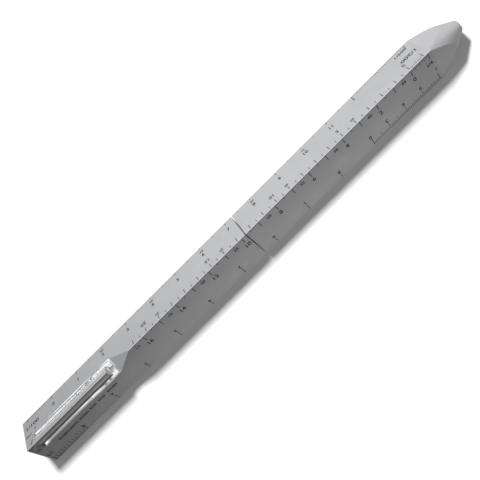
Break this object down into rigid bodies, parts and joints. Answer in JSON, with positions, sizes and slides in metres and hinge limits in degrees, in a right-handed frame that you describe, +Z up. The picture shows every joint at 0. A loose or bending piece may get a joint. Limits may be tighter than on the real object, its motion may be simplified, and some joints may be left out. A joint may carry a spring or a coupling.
{
  "type": "triangular scale rule pen",
  "caption": "Twist-action ballpoint pen with a triangular metal body engraved as a scale rule, a turned conical nose and a forked spring clip set beside the ridge.",
  "frame": {"origin": "middle of the overall length, on the flat face the pen rests on", "axes": "+X along the pen from the flat rear end to the nose, +Z up through the top ridge, +Y across to the face with the metric scales"},
  "size_m": [0.1662, 0.0142, 0.0124],
  "materials": {
    "anodised_aluminium": "satin anodised, fine bead blast",
    "polished_steel": "polished stainless spring steel",
    "steel_pin": "ground",
    "spring_steel": "drawn wire",
    "black_acetal": "matte",
    "white_acetal": "matte",
    "brass": "turned",
    "rubber": "matte",
    "nickel_plate": "bright plated",
    "nickel_silver": "turned",
    "carbide": "ground",
    "ink": "wet black paste",
    "grease": "translucent grease"
  },
  "bodies": {
    "front_half": {"front_barrel": "anodised_aluminium", "coupling_insert": "brass", "guide_tube": "brass", "parting_washer": "black_acetal", "retaining_ring": "spring_steel", "thrust_washer": "white_acetal", "friction_ring": "rubber", "return_spring": "spring_steel"},
    "rear_half": {"rear_barrel": "anodised_aluminium", "cam_sleeve": "brass", "mouth_bush": "black_acetal", "clip_pin": "steel_pin"},
    "clip": {"clip": "polished_steel"},
    "refill": {"plunger": "white_acetal", "cross_pin": "steel_pin", "refill_tube": "nickel_plate", "refill_plug": "white_acetal", "refill_point": "nickel_silver", "ink_column": "ink", "grease_follower": "grease"},
    "ball": {"writing_ball": "carbide"}
  },
  "joints": [
    {"name": "twist", "type": "hinge", "parent": "front_half", "child": "rear_half", "pos_m": [-0.0111, 0, 0.00419], "axis": [1, 0, 0], "range_deg": [0, 120]},
    {"name": "refill_slide", "type": "slide", "parent": "front_half", "child": "refill", "axis": [1, 0, 0], "range_m": [0, 0.0055], "stiffness_N_per_m": 120, "springref_m": -0.004, "deforming": ["return_spring"]},
    {"name": "clip_flex", "type": "hinge", "parent": "rear_half", "child": "clip", "pos_m": [-0.0788, 0, 0.0066], "axis": [0, -1, 0], "range_deg": [0, 4], "stiffness_Nm_per_rad": 1},
    {"name": "ball_roll", "type": "hinge", "parent": "refill", "child": "ball", "pos_m": [0.0813, 0, 0.00419], "axis": [0, 1, 0], "continuous": true}
  ],
  "couplings": [
    {"joint": "twist", "follows": "refill_slide", "rad_per_m": 380.8}
  ]
}
